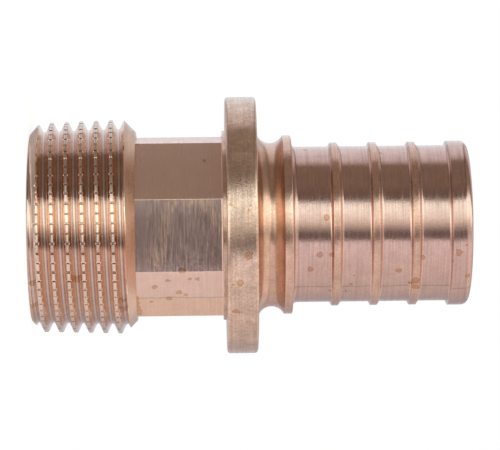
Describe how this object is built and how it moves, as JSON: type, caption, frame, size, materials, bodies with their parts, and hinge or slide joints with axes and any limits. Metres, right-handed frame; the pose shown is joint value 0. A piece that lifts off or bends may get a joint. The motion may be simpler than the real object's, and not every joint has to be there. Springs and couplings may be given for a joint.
{
  "type": "pex male adapter",
  "caption": "Gunmetal pipe adapter with a male taper thread and a wrench octagon at one end and a ribbed barb for expanded PEX pipe at the other, joined by a flange.",
  "frame": {"origin": "centre of the threaded end face, on the bore axis, which is the bottom of the part as it stands", "axes": "+Z along the bore from the threaded end to the barb; two of the octagon's flats face -Y and +Y, and two face -X and +X"},
  "size_m": [0.0402, 0.0402, 0.0682],
  "materials": {
    "gunmetal": "turned and milled, satin, copper pink with brown heat stains"
  },
  "bodies": {
    "root": {"adapter_body": "gunmetal"}
  },
  "joints": []
}
